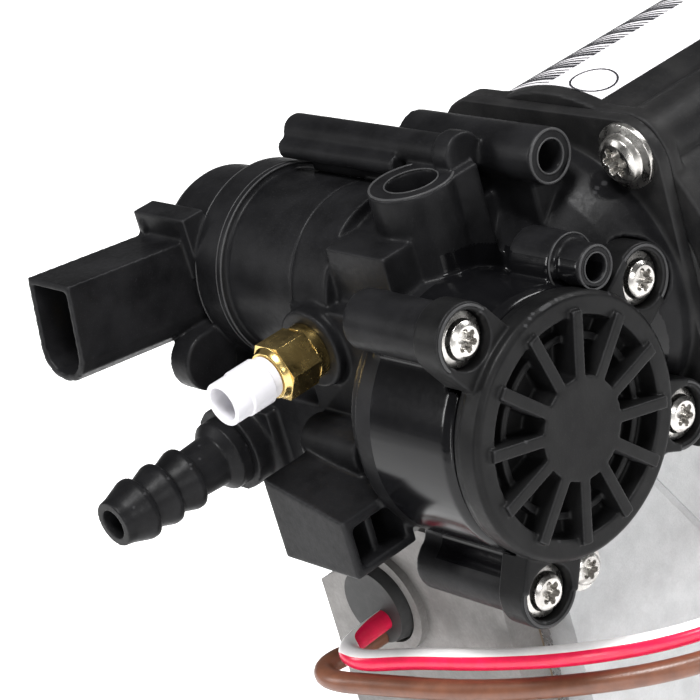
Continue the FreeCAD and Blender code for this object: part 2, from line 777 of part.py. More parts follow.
def connector_pins():
    pins = []
    for side in (-3.4, 2.6):
        pin = doc.addObject("Part::Box", "Pin")
        bind(pin, "Length", 0.8)
        bind(pin, "Width", 6.0)
        bind(pin, "Height", 8.0)
        pins.append(put(pin, socket_spot(SOCKET_LENGTH - SOCKET_DEPTH, side, -3.0), SOCKET_TILT))
    node("connector_pins", group(*pins))


# ---------------------------------------------------------------- outlet, check valve and nozzle

def outlet():
    y = S.outlet_boss_y

    def spot(offset):
        return (S.outlet_x, y + offset, S.outlet_z)

    hexagon = prism(S.fitting_across_flats, 8.0, spot(-10.5), "+y")
    collar = rod(S.fitting_across_flats / 2 + 0.3, 2.5, spot(-2.5), "+y")
    nose = cone(5.2, S.fitting_across_flats / 2 - 0.1, 1.4, spot(-11.9), "+y")
    shank = rod(5.45, 10.6, spot(0), "+y")
    bore = rod(S.fitting_bore, 30.0, spot(-14.0), "+y")
    node("outlet_fitting", cut(fuse(hexagon, collar, nose, shank), bore))
    poppet = fuse(rod(2.4, 2.0, spot(14.4), "+y"), rod(3.55, 3.2, spot(16.4), "+y"))
    node("check_valve_poppet", poppet)
    spring = coil_spring(3.05, as_size(0.5), 4, as_size(3.6), spot(12.4), "+y")
    node("check_valve_spring", spring)
    stub = turned(
        (
            (1.6, -14.0),
            (S.fitting_bore - S.fit_gap, -14.0),
            (S.fitting_bore - S.fit_gap, -5.5),
            (S.plug_radius - 0.5, -5.5),
            (S.plug_radius - 0.5, -3.4),
            (S.plug_radius, -3.4),
            (S.plug_radius, 2.6),
            (S.plug_radius - 0.3, 3.0),
            (S.plug_radius - 0.3, 7.4),
            (S.plug_radius - 1.4, 7.4),
            (S.plug_radius - 1.4, -2.0),
            (1.6, -2.0),
        ),
        spot(-17.5),
        "-y",
    )
    node("transport_plug", stub)


def hose_nozzle():
    length = S.nozzle_length
    root = S.nozzle_radius
    crest = S.barb_radius
    profile = [
        (S.nozzle_bore, -12.0), (4.5, -12.0), (4.5, -9.0), (3.9, -9.0), (3.9, -7.0), (4.98, -7.0),
        (4.98, 0), (8.2, 0), (8.2, 3.0), (root + 0.4, 5.0), (root, 12.0),
    ]
    barbs = 3
    pitch = (length - 14.0) / barbs
    for index in range(barbs):
        start = 12.5 + index * pitch
        profile += [(root, start), (crest, start + 0.4), (crest, start + 1.6), (root, start + pitch - 0.6)]
    profile += [(root - 0.4, length), (S.nozzle_bore, length)]
    spot = (S.nozzle_x, S.nozzle_base_y, S.nozzle_z)
    node("hose_nozzle", turned(profile, spot, "-y"))


# ---------------------------------------------------------------- dryer

def dryer_canister():
    """The canister with its square flange, corner ribs and domed end."""
    depth = S.flange_depth
    radius = S.canister_radius
    end = S.canister_length
    shell = turned(
        (
            (0, 0), (radius, 0), (radius, end - depth - 6.0), (radius - 1.5, end - depth - 2.5),
            (radius - 5.0, end - depth), (0, end - depth),
        ),
        (0, depth, 0),
        "+y",
    )
    flange = rounded_plate(S.flange_width, S.flange_height, S.flange_corner, 3.2, (0, depth, 0), "+y")
    ribs = [rod(7.4, 42.0, (x, depth, z), "+y") for x, z in FLANGE_SCREWS]
    side_ribs = [
        block((side * 34.0 - 1.0, depth, -5.0), (side * 34.0 + 1.0, end - 20.0, 5.0)) for side in (-1, 1)
    ]
    hollow = rod(radius - S.canister_wall, end - depth - 9.0, (0, depth, 0), "+y")
    holes = [
        rod(2.8, 16.0, (x, depth, z), "+y") for x, z in FLANGE_SCREWS
    ]
    underside = block((-30.0, depth, -50.0), (30.0, end, -40.0))
    node("dryer_canister", cut(fuse(shell, flange, *ribs, *side_ribs), hollow, underside, *holes))


def dryer_insides():
    depth = S.flange_depth
    radius = S.canister_radius - S.canister_wall
    inner = radius - S.fit_gap

    def perforated(start):
        plate = rod(inner, 3.0, (0, start, 0), "+y")
        holes = []
        for circle, count in ((9.0, 6), (19.0, 12), (27.5, 16)):
            for index in range(count):
                angle = 2 * pi * index / count
                holes.append(rod(2.0, 3.0, (circle * cos(angle), start, circle * sin(angle)), "+y"))
        return cut(plate, *holes)

    node("desiccant_charge", rod(inner, 62.0, (0, depth + 11.0, 0), "+y"))
    node("desiccant_plates", group(perforated(depth + 8.0), perforated(depth + 73.0)))
    spring = coil_spring(22.0, as_size(2.4), 3, as_size(15.6), (0, depth + 77.5, 0), "+y")
    node("desiccant_spring", spring)
    node("canister_seal", ring(inner, inner - 3.0, 2.4, (0, depth, 0), "+y"))


def flange_screws():
    screws = [
        lobed_screw(
            as_size(7.3), as_size(4.2), as_size(2.75), as_size(16.0),
            (x, 0, z), "-y",
        )
        for x, z in FLANGE_SCREWS
    ]
    node("flange_screws", group(*screws))


def dryer_saddle():
    block_solid = block((-34.0, 52.0, -62.0), (2.0, 70.0, -20.0))
    canister = rod(S.canister_radius, 30.0, (0, 46.0, 0), "+y")
    motor = rod(S.motor_radius, 30.0, on_crank_axis(46.0), "+y")
    node("dryer_saddle", cut(block_solid, canister, motor))


# ---------------------------------------------------------------- crankcase and cylinder

BRACKET_SCREWS = ((-42.0, -39.0), (-20.0, -39.0), (-42.0, 14.0), (-20.0, 14.0))


def crankcase():
    front = S.case_front
    low = (S.case_left, front, S.case_bottom)
    high = (S.case_right, S.case_back, S.case_top)
    body = block(low, high)
    corner = corner_cut(S.case_left, S.case_top, S.case_chamfer_wide, S.case_chamfer_tall)
    grommet_boss = rod(13.0, 24.0, (S.grommet_x, front - 2.0, S.grommet_z), "+y")
    cavity = rod(S.cavity_radius, 54.0, on_crank_axis(-40.0), "+y")
    rear_bore = rod(11.0, 12.0, on_crank_axis(13.0), "+y")
    rear_step = rod(9.0, 20.0, on_crank_axis(10.0), "+y")
    bore_radius = S.bore_radius + S.liner_wall + S.fit_gap
    bore = rod(bore_radius, 36.0, on_cylinder_axis(S.case_right - 36.0), "+x")
    grommet_bore = rod(10.5, 5.0, (S.grommet_x, front - 2.0, S.grommet_z), "+y")
    grommet_hole = rod(7.0, 12.0, (S.grommet_x, front - 2.0, S.grommet_z), "+y")
    solid = fuse(cut(body, corner), grommet_boss)
    holes = [rod(2.45, 20.0, spot, "+x") for spot in head_screw_spots(S.case_right - 20.0)]
    holes += [rod(3.05, 10.0, (x, y, S.case_bottom), "+z") for x, y in BRACKET_SCREWS]
    solid = cut(solid, cavity, rear_bore, rear_step, bore, grommet_bore, grommet_hole, *holes)
    node("crankcase", solid)


def corner_cut(x, z, wide, tall):
    """A triangular prism that takes off the long top corner of the crankcase."""
    outline = ((-1.0, 1.0), (wide, 1.0), (wide, 0), (0, -tall), (-1.0, -tall))
    return padded(outline, 80.0, (x, S.case_back + 4.0, z), Rotation(Vector(1, 0, 0), 90))


def head_screw_spots(x):
    spots = []
    for side_y in (-1, 1):
        for side_z in (-1, 1):
            spots.append((x, S.rod_y + side_y * 23.5 + 1.0, S.crank_z + side_z * 34.0 - 1.0))
    return spots


def cylinder_parts():
    face = S.case_right
    low_y = S.rod_y - 28.5
    high_y = S.rod_y + 33.5
    liner = ring(S.bore_radius + S.liner_wall, S.bore_radius, 15.0, on_cylinder_axis(face - 15.0), "+x")
    node("cylinder_liner", liner)
    middle_y = (low_y + high_y) / 2
    low_z = S.case_bottom
    high_z = -40.5
    middle_z = (low_z + high_z) / 2
    wide = high_y - low_y
    tall = high_z - low_z

    def plate(start, thick, corner=7.0):
        return rounded_plate(tall, wide, corner, thick, (start, middle_y, middle_z), "+x")

    screw_tools = [rod(2.6, 30.0, spot, "+x") for spot in head_screw_spots(face - 5.0)]
    gasket_hole = rod(S.bore_radius, 2.0, on_cylinder_axis(face), "+x")
    node("head_gasket", cut(plate(face, 0.6), gasket_hole, *screw_tools))
    ports = [rod(3.0, 4.0, (face, S.rod_y + side * 8.0, S.crank_z), "+x") for side in (-1, 1)]
    node("valve_plate", cut(plate(face + 0.6, 3.0), *ports, *screw_tools))
    intake = block(
        (face + 0.2, S.rod_y - 12.0, S.crank_z - 4.0),
        (face + 0.55, S.rod_y - 4.0, S.crank_z + 15.0),
    )
    discharge = block(
        (face + 3.65, S.rod_y + 4.0, S.crank_z - 4.0),
        (face + 4.0, S.rod_y + 11.0, S.crank_z + 11.0),
    )
    node("reed_valves", group(intake, discharge))
    pocket = rod(16.5, 5.0, on_cylinder_axis(face + 3.6), "+x")
    groove = diagonal_groove(face + 12.0)
    head = cut(plate(face + 3.6, 8.4), pocket, groove, *screw_tools)
    node("cylinder_head", head)
    screws = [
        lobed_screw(as_size(5.2), as_size(3.2), as_size(2.4), as_size(24.0), spot, "+x")
        for spot in head_screw_spots(face + 12.0)
    ]
    node("head_screws", group(*screws))


def diagonal_groove(x):
    """The shallow cast groove that runs down and back across the head's face."""
    groove = doc.addObject("Part::Box", "Groove")
    bind(groove, "Length", 1.2)
    bind(groove, "Width", 1.6)
    bind(groove, "Height", 60.0)
    turn = Rotation(Vector(1, 0, 0), 209.4)
    return put(groove, (x - 0.6, -9.0, -40.5), turn)


def piston_parts():
    crown = S.crank_x + S.throw + 29.3
    radius = S.bore_radius - S.fit_gap
    disc = turned(
        (
            (0, -7.5), (radius - 2.0, -7.5), (radius - 0.4, -6.0), (radius - 0.4, -3.2),
            (radius - 3.0, -3.2), (radius - 3.0, -1.8), (radius - 0.6, -1.8), (radius - 0.6, 0), (0, 0),
        ),
        on_cylinder_axis(crown),
        "+x",
    )
    node("piston", disc)
    node("piston_cup_seal", ring(radius, S.bore_radius - 3.0, 1.3, on_cylinder_axis(crown - 3.15), "+x"))
    pin_x = S.crank_x + S.throw
    eye = rod(11.0, 8.0, (pin_x, S.rod_y - 4.0, S.crank_z), "+y")
    shank = block(
        (pin_x + 8.0, S.rod_y - 4.0, S.crank_z - 5.0), (crown - 7.5, S.rod_y + 4.0, S.crank_z + 5.0)
    )
    eye_hole = rod(8.0, 8.0, (pin_x, S.rod_y - 4.0, S.crank_z), "+y")
    node("connecting_rod", cut(fuse(eye, shank), eye_hole))
    node("rod_bearing", ring(as_size(8.0), as_size(4.05), 8.0, (pin_x, S.rod_y - 4.0, S.crank_z), "+y"))


def crank():
    """The crank disc on the motor shaft. Its pin stops just short of the rod's eye."""
    disc_start = -5.5
    disc = rod(12.5, 9.0, on_crank_axis(disc_start), "+y")
    weight = common(
        rod(15.0, 9.0, on_crank_axis(disc_start), "+y"),
        block(
            (S.crank_x - 20.0, disc_start, S.crank_z - 16.0),
            (S.crank_x - 2.0, disc_start + 9.0, S.crank_z + 16.0),
        ),
    )
    pin_end = S.rod_y + 4.0 + S.air_gap
    pin = rod(4.0, disc_start - pin_end, (S.crank_x + S.throw, pin_end, S.crank_z), "+y")
    shaft_hole = rod(S.shaft_radius, 9.0, on_crank_axis(disc_start), "+y")
    node("crank", cut(fuse(disc, weight, pin), shaft_hole))


# ---------------------------------------------------------------- motor

def motor_body():
    start = S.case_back
    can_length = 82.0
    can = ring(S.motor_radius, S.motor_radius - S.motor_wall, can_length, on_crank_axis(start), "+y")
    node("motor_can", can)
    inner = S.motor_radius - S.motor_wall - S.fit_gap
    magnets = []
    for index in range(4):
        arc = ring(inner, S.motor_radius - 7.0, 60.0, on_crank_axis(start + 10.0), "+y")
        turn = WAYS["+y"].multiply(Rotation(Vector(0, 0, 1), 45 + 90 * index))
        outline = ((4.0, -0.5), (40.0, -22.0), (40.0, 22.0), (4.0, 0.5))
        wedge = padded(outline, 62.0, on_crank_axis(start + 9.0), turn)
        magnets.append(common(arc, wedge))
    node("motor_magnets", group(*magnets))
    holder = ring(inner, as_size(15.5), 8.0, on_crank_axis(start + 71.0), "+y")
    slots = [
        block(
            (S.crank_x + side - 7.0, start + 71.5, S.crank_z - 3.05),
            (S.crank_x + side + 7.0, start + 77.5, S.crank_z + 3.05),
        )
        for side in (-17.0, 17.0)
    ]
    node("brush_holder", cut(holder, *slots))
    brushes = [
        block(
            (S.crank_x + side - 6.0, start + 71.6, S.crank_z - 3.0),
            (S.crank_x + side + 6.0, start + 77.4, S.crank_z + 3.0),
        )
        for side in (-17.2, 17.2)
    ]
    node("brushes", group(*brushes))


def rotor():
    start = S.case_back
    shaft = rod(S.shaft_radius - S.fit_gap, 119.4, on_crank_axis(-5.4), "+y")
    node("motor_shaft", shaft)
    stack = rod(26.5, 52.0, on_crank_axis(start + 12.0), "+y")
    slots = []
    slot_outline = (
        (16.0, -3.4), (22.5, -4.6), (24.4, -1.1), (28.0, -1.1),
        (28.0, 1.1), (24.4, 1.1), (22.5, 4.6), (16.0, 3.4),
    )
    for index in range(10):
        turn = WAYS["+y"].multiply(Rotation(Vector(0, 0, 1), 36 * index))
        slots.append(padded(slot_outline, 52.0, on_crank_axis(start + 12.0), turn))
    shaft_hole = rod(S.shaft_radius - S.fit_gap, 52.0, on_crank_axis(start + 12.0), "+y")
    node("armature", cut(stack, shaft_hole, *slots))
    windings = []
    for offset in (9.0, 64.0):
        windings.append(ring(as_size(21.5), as_size(6.5), 3.0, on_crank_axis(start + offset), "+y"))
    node("armature_windings", group(*windings))
    node("commutator", ring(as_size(11.0), S.shaft_radius - S.fit_gap, 12.0, on_crank_axis(start + 69.0), "+y"))


def bearings_and_end():
    start = S.case_back
    bearings = [
        ring(as_size(11.0), S.shaft_radius, 7.0, on_crank_axis(y), "+y")
        for y in (start - 9.0, S.motor_back - 12.0)
    ]
    node("motor_bearings", group(*bearings))
    spigot = S.motor_radius - S.motor_wall - S.fit_gap
    bell = turned(
        (
            (0, 12.0), (14.0, 12.0), (15.5, 9.0), (S.motor_radius - 6.0, 6.0),
            (S.motor_radius - 1.2, 4.4), (S.motor_radius, 3.2), (S.motor_radius, 0),
            (spigot, 0), (spigot, -3.0), (28.0, -3.0), (28.0, 0), (0, 0),
        ),
        on_crank_axis(S.motor_back - 12.0),
        "+y",
    )
    pocket = rod(11.0, 8.0, on_crank_axis(S.motor_back - 12.0), "+y")
    recesses = [rod(3.8, 8.0, spot, "+y") for spot in end_screw_spots()]
    threads = [rod(1.65, 8.0, lift(spot, "+y", -5.2), "+y") for spot in end_screw_spots()]
    node("motor_end_bell", cut(bell, pocket, *recesses, *threads))
    screws = [
        lobed_screw(as_size(3.6), as_size(2.4), as_size(1.6), as_size(5.0), spot, "+y")
        for spot in end_screw_spots()
    ]
    node("motor_screws", group(*screws))


def end_screw_spots():
    spots = []
    for index in range(3):
        angle = radians(90 + 120 * index)
        spots.append((
            S.crank_x + 24.0 * cos(angle),
            S.motor_back - 6.4,
            S.crank_z + 24.0 * sin(angle),
        ))
    return spots


# ---------------------------------------------------------------- base

FEET = ((-60.0, -60.0), (4.0, -60.0), (-60.0, 96.0), (4.0, 96.0))


def base():
    bottom = S.case_bottom
    thick = S.bracket_thick
    plate = block((-74.0, -73.0, bottom - thick), (18.0, 110.0, bottom))
    waist = block((8.0, -44.0, bottom - thick), (24.0, 80.0, bottom))
    left_waist = block((-78.0, -44.0, bottom - thick), (-64.0, 80.0, bottom))
    cradle = cut(
        block((S.crank_x - 14.0, 60.0, bottom), (S.crank_x + 14.0, 96.0, bottom + 14.0)),
        rod(S.motor_radius, 60.0, on_crank_axis(46.0), "+y"),
        block((S.crank_x - 11.0, 63.0, bottom), (S.crank_x + 11.0, 93.0, bottom + 14.0)),
    )
    holes = [rod(3.3, 8.0, (x, y, bottom - 5.0), "+z") for x, y in FEET]
    screw_holes = [rod(3.2, 8.0, (x, y, bottom - 5.0), "+z") for x, y in BRACKET_SCREWS]
    node("mounting_bracket", cut(fuse(plate, cradle), waist, left_waist, *holes, *screw_holes))
    feet = []
    studs = []
    for x, y in FEET:
        foot = turned(
            (
                (0, 0), (S.foot_radius - 1.0, 0), (S.foot_radius, 1.0), (S.foot_radius - 1.6, 5.0),
                (S.foot_radius - 1.6, 10.0), (S.foot_radius, 13.5), (S.foot_radius, 15.0), (0, 15.0),
            ),
            (x, y, bottom - thick - S.foot_height),
            "+z",
        )
        feet.append(cut(
            foot,
            rod(3.0, 10.0, (x, y, bottom - thick - 9.0), "+z"),
            rod(2.5, 5.5, (x, y, bottom - thick - S.foot_height), "+z"),
        ))
        shank = rod(3.0, 20.0, (x, y, bottom - thick - 9.0), "+z")
        nut = prism(10.0, 5.0, (x, y, bottom), "+z")
        studs.append(fuse(shank, nut))
    node("rubber_feet", group(*feet))
    node("foot_studs", group(*studs))
    screws = []
    for x, y in BRACKET_SCREWS:
        head = prism(10.0, 4.0, (x, y, bottom - thick), "-z")
        screws.append(fuse(head, rod(3.0, 11.0, (x, y, bottom - thick), "+z")))
    node("bracket_screws", group(*screws))


# ---------------------------------------------------------------- wires

def wire_grommet():
    front = S.case_front

    def spot(y):
        return (S.grommet_x, y, S.grommet_z)

    body = fuse(
        rod(6.95, 8.0, spot(front), "+y"),
        rod(10.4, 3.0, spot(front), "+y"),
        cone(9.2, 10.4, 4.5, spot(front - 4.5), "+y"),
    )
    exits = [rod(S.wire_diameter / 2, 7.0, (x, front - 8.0, z), "+y") for x, z in WIRE_EXITS]
    node("wire_grommet", cut(body, *exits))


WIRE_EXITS = ((-33.4, -66.5), (-36.4, -71.4))

# Corners of each wire's route, from the grommet to the plug, from the dryer point.
RED_ROUTE = (
    (-33.4, -49.0, -66.5), (-33.4, -57.0, -66.5), (-32.8, -65.5, -66.6), (-25.5, -67.5, -66.4),
    (-14.0, -61.5, -66.0), (3.0, -55.0, -65.8), (21.0, -44.5, -66.0), (37.0, -29.0, -66.4),
    (45.0, -10.0, -67.0), (45.5, 8.0, -67.6), (40.0, 20.0, -68.2), (30.5, 29.5, -68.6),
    (22.5, 38.5, -68.8), (19.0, 48.5, -68.8), (19.0, 58.0, -68.8),
)
BROWN_ROUTE = (
    (-36.4, -49.0, -71.4), (-36.4, -58.0, -71.4), (-39.4, -68.0, -71.0), (-33.5, -72.0, -71.0),
    (-20.0, -67.5, -71.0), (0.0, -60.0, -71.6), (19.0, -49.0, -71.8), (37.5, -34.0, -71.8),
    (48.5, -14.0, -72.4), (49.5, 8.0, -73.4), (43.0, 24.0, -74.0), (31.5, 33.0, -74.2),
    (23.0, 41.0, -74.2), (19.0, 50.0, -74.2), (19.0, 58.0, -74.2),
)


def wire_path(corners):
    """Straight runs joined by tangent arcs, each as large as its two runs allow."""
    dryer_point = Vector(S.dryer_x.number, S.dryer_y.number, S.dryer_z.number)
    points = [dryer_point + Vector(*corner) for corner in corners]
    edges = []
    start = points[0]
    radii = []
    for before, corner, after in zip(points, points[1:], points[2:]):
        to_before = (before - corner).normalize()
        to_after = (after - corner).normalize()
        turn = pi - to_before.getAngle(to_after)
        setback = 0.45 * min((before - corner).Length, (after - corner).Length)
        radius = setback / tan(turn / 2)
        enter = corner + to_before * setback
        leave = corner + to_after * setback
        inward = (to_before + to_after).normalize()
        middle = corner + inward * (radius / cos(turn / 2) - radius)
        edges.append(Part.LineSegment(start, enter).toShape())
        edges.append(Part.Arc(enter, middle, leave).toShape())
        start = leave
        radii.append(radius)
    edges.append(Part.LineSegment(start, points[-1]).toShape())
    return Part.Wire(edges), radii


def wire(name, corners, thickness):
    path, radii = wire_path(corners)
    start = path.Edges[0].Vertexes[0].Point
    heading = path.Edges[0].tangentAt(path.Edges[0].FirstParameter)
    section = Part.Wire(Part.makeCircle(thickness.number / 2, start, heading))
    tube = path.makePipeShell([section], True, False)
    thing = doc.addObject("Part::Feature", "Wire")
    thing.Shape = tube
    thing.Placement = Placement()
    expected = path.Length * pi * thickness.number ** 2 / 4
    print(name, "length", round(path.Length, 1), "volume ratio", round(tube.Volume / expected, 4),
          "radii", [round(radius, 1) for radius in radii])
    node(name, thing)


def wire_plug():
    """The two-way connector on the wires, and the clip that holds it on the motor."""
    body = rounded_plate(14.0, 20.0, 3.0, 24.0, (19.0, 58.0, -71.5), "+y")
    mouth = rounded_plate(10.0, 15.0, 2.0, 12.0, (19.0, 70.0, -71.5), "+y")
    latch = block((16.0, 61.0, -61.5), (22.0, 76.0, -59.5))
    node("wire_plug", cut(fuse(body, latch), mouth))
    clip = cut(
        block((-4.0, 62.0, -80.0), (12.0, 74.0, -63.0)),
        rod(S.motor_radius, 60.0, on_crank_axis(46.0), "+y"),
    )
    node("plug_clip", clip)


# ---------------------------------------------------------------- the whole pump

def build():
    valve_head()
    spoked_cap()
    cap_fasteners()
    exhaust_valve()
    solenoid_housing()
    solenoid_end_cap()
    solenoid_insides()
    connector_pins()
    outlet()
    hose_nozzle()
    dryer_canister()
    dryer_insides()
    flange_screws()
    dryer_saddle()
    crankcase()
    cylinder_parts()
    piston_parts()
    crank()
    motor_body()
    rotor()
    bearings_and_end()
    base()
    wire_grommet()
    wire("wire_red_white", RED_ROUTE, S.wire_diameter)
    wire("wire_brown", BROWN_ROUTE, S.wire_diameter)
    wire_plug()


def check():
    for thing in doc.Objects:
        if "Invalid" in thing.State or "Error" in thing.State:
            raise RuntimeError(f"{thing.Label} ({thing.Name}) failed: {thing.State}")
    for thing in NODES:
        if thing.Shape.isNull() or not thing.Shape.isValid() or not thing.Shape.Solids:
            raise RuntimeError(f"{thing.Label} has no sound solid")


def export():
    os.makedirs("parts", exist_ok=True)
    for thing in NODES:
        thing.Shape.exportStep(f"parts/{thing.Label}.step")


build()
doc.recompute()
check()
export()
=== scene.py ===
from math import cos, pi, radians, sin

import bmesh
import bpy
from mathutils import Matrix, Vector
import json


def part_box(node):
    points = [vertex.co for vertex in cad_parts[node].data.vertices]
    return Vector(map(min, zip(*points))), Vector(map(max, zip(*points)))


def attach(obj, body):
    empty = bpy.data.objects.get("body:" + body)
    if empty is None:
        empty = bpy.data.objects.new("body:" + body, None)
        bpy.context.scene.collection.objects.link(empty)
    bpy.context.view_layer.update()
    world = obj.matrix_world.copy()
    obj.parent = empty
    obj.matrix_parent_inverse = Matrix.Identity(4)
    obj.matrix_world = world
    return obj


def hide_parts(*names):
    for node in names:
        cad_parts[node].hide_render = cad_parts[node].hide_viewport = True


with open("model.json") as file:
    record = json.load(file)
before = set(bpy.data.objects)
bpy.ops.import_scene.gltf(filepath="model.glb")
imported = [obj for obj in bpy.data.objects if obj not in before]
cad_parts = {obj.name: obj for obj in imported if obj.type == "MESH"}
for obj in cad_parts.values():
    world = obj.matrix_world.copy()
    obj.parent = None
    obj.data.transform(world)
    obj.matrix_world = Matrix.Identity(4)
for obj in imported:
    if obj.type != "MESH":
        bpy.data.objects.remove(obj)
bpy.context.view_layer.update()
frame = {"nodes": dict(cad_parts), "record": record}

MM = 0.001
X, Y, Z = Vector((1, 0, 0)), Vector((0, 1, 0)), Vector((0, 0, 1))


def centre(node):
    low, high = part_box(node)
    return (low + high) / 2


# The dryer point: the dryer's axis, at the front face of its flange. Places below are in millimetres
# from it.
FLANGE_DEPTH = 3.2
DRYER = Vector((
    centre("desiccant_charge").x / MM,
    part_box("dryer_canister")[0].y / MM - FLANGE_DEPTH,
    centre("desiccant_charge").z / MM,
))
CAP = Vector((
    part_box("spoked_cap")[1].x / MM,
    centre("cap_seal").y / MM,
    centre("cap_seal").z / MM,
)) - DRYER


def placed(point):
    """A place given from the dryer point, in metres in the row frame."""
    return (Vector(point) + DRYER) * MM


# ---------------------------------------------------------------- camera

def camera():
    azimuth, elevation, roll = radians(54.71), radians(23.89), radians(-16.52)
    back = Vector((sin(azimuth) * cos(elevation), -cos(azimuth) * cos(elevation), sin(elevation)))
    level_right = Vector((cos(azimuth), sin(azimuth), 0))
    level_up = back.cross(level_right)
    right = cos(roll) * level_right + sin(roll) * level_up
    up = -sin(roll) * level_right + cos(roll) * level_up
    data = bpy.data.cameras.new("camera")
    data.sensor_width = 36.0
    data.lens = 147.69
    data.clip_start = 0.01
    data.clip_end = 20.0
    eye = bpy.data.objects.new("camera", data)
    bpy.context.scene.collection.objects.link(eye)
    place = placed(CAP + Vector((397.3, -330.8, 259.5)))
    turn = Matrix((right, up, back)).transposed()
    eye.matrix_world = Matrix.Translation(place) @ turn.to_4x4()
    bpy.context.scene.camera = eye


# ---------------------------------------------------------------- material helpers

class Paint:
    """A principled material with its nodes close at hand."""

    def __init__(self, name, **inputs):
        self.material = bpy.data.materials.new(name)
        self.material.use_nodes = True
        self.tree = self.material.node_tree
        self.shader = self.tree.nodes["Principled BSDF"]
        for key, value in inputs.items():
            self.shader.inputs[key.replace("_", " ")].default_value = value

    def node(self, kind, **settings):
        made = self.tree.nodes.new(kind)
        for key, value in settings.items():
            if key in made.inputs:
                made.inputs[key].default_value = value
            else:
                setattr(made, key, value)
        return made

    def link(self, out, into):
        self.tree.links.new(out, into)

    def coordinates(self):
        return self.node("ShaderNodeTexCoord").outputs["Object"]

    def noise(self, scale, detail=3.0, roughness=0.6, stretch=None):
        texture = self.node("ShaderNodeTexNoise")
        texture.inputs["Scale"].default_value = scale
        texture.inputs["Detail"].default_value = detail
        texture.inputs["Roughness"].default_value = roughness
        source = self.coordinates()
        if stretch is not None:
            mapping = self.node("ShaderNodeMapping")
            mapping.inputs["Scale"].default_value = stretch
            self.link(source, mapping.inputs["Vector"])
            source = mapping.outputs["Vector"]
        self.link(source, texture.inputs["Vector"])
        return texture.outputs["Fac"]

    def ramp(self, source, low, high, start, end):
        """start below low, end above high, straight between."""
        step = self.node("ShaderNodeMapRange")
        step.inputs["From Min"].default_value = low
        step.inputs["From Max"].default_value = high
        step.inputs["To Min"].default_value = start
        step.inputs["To Max"].default_value = end
        self.link(source, step.inputs["Value"])
        return step.outputs["Result"]

    def mix(self, factor, first, second):
        blend = self.node("ShaderNodeMix", data_type="RGBA")
        self.link(factor, blend.inputs["Factor"])
        for value, socket in ((first, blend.inputs[6]), (second, blend.inputs[7])):
            if isinstance(value, tuple):
                socket.default_value = (*value, 1.0)
            else:
                self.link(value, socket)
        return blend.outputs[2]

    def colour(self, source):
        self.link(source, self.shader.inputs["Base Color"])

    def rough(self, source):
        self.link(source, self.shader.inputs["Roughness"])

    def bump(self, *layers):
        """Each layer is a height and its depth in metres."""
        normal = None
        for height, depth in layers:
            bump = self.node("ShaderNodeBump")
            bump.inputs["Distance"].default_value = depth
            bump.inputs["Strength"].default_value = 1.0
            self.link(height, bump.inputs["Height"])
            if normal is not None:
                self.link(normal, bump.inputs["Normal"])
            normal = bump.outputs["Normal"]
        self.link(normal, self.shader.inputs["Normal"])

    def edges(self, low=0.52, high=0.60):
        """1 on convex edges, 0 on flats."""
        geometry = self.node("ShaderNodeNewGeometry")
        return self.ramp(geometry.outputs["Pointiness"], low, high, 0.0, 1.0)


def nylon(name, dark, light, rough, grain, wear=0.2, gloss=0.1, uneven=0.08):
    """Glass-filled nylon: fine fibre flecks, a slightly uneven sheen and lighter edges."""
    paint = Paint(name, Roughness=rough, IOR=1.5)
    paint.shader.inputs["Specular IOR Level"].default_value = gloss
    flecks = paint.ramp(paint.noise(3200.0, 2.0, 0.7), 0.60, 0.74, 0.0, 0.55)
    cloud = paint.ramp(paint.noise(90.0, 3.0), 0.35, 0.65, 0.0, 0.5)
    base = paint.mix(cloud, dark, tuple(0.5 * (a + b) for a, b in zip(dark, light)))
    base = paint.mix(flecks, base, light)
    worn = paint.ramp(paint.edges(), 0.0, 1.0, 0.0, wear)
    paint.colour(paint.mix(worn, base, (0.11, 0.11, 0.115)))
    paint.rough(paint.ramp(paint.noise(700.0, 4.0), 0.3, 0.7, rough - uneven, rough + uneven))
    paint.bump((paint.noise(1900.0, 3.0), grain), (paint.noise(260.0, 2.0), grain * 2.2))
    return paint.material


def metal(name, colour, dark, rough, grain, scale=1500.0, spread=0.12, metallic=1.0):
    """Bare metal with fine grain, patchy roughness and darker stains."""
    paint = Paint(name, Metallic=metallic, Roughness=rough)
    stain = paint.ramp(paint.noise(140.0, 5.0), 0.42, 0.68, 0.0, 0.55)
    speck = paint.ramp(paint.noise(scale, 3.0), 0.35, 0.7, 0.0, 0.35)
    base = paint.mix(stain, colour, dark)
    paint.colour(paint.mix(speck, base, dark))
    paint.rough(paint.ramp(paint.noise(420.0, 4.0), 0.3, 0.7, max(rough - spread, 0.05), rough + spread))
    paint.bump((paint.noise(scale, 3.0), grain), (paint.noise(scale * 0.25, 3.0), grain * 1.6))
    return paint.material


def rubber(name, colour):
    paint = Paint(name, Roughness=0.6, IOR=1.5)
    dust = paint.ramp(paint.noise(300.0, 5.0), 0.45, 0.75, 0.0, 0.5)
    paint.colour(paint.mix(dust, colour, tuple(value + 0.035 for value in colour)))
    paint.bump((paint.noise(900.0, 3.0), 0.00003))
    return paint.material


def plastic(name, colour, rough=0.35, glow=0.0):
    paint = Paint(name, Roughness=rough, IOR=1.49)
    paint.shader.inputs["Subsurface Weight"].default_value = glow
    paint.shader.inputs["Subsurface Radius"].default_value = (1.0, 1.0, 1.0)
    paint.shader.inputs["Subsurface Scale"].default_value = 0.0015
    cloud = paint.ramp(paint.noise(400.0, 3.0), 0.3, 0.7, 0.0, 1.0)
    paint.colour(paint.mix(cloud, tuple(value * 0.93 for value in colour), colour))
    paint.bump((paint.noise(1100.0, 2.0), 0.000006))
    return paint.material


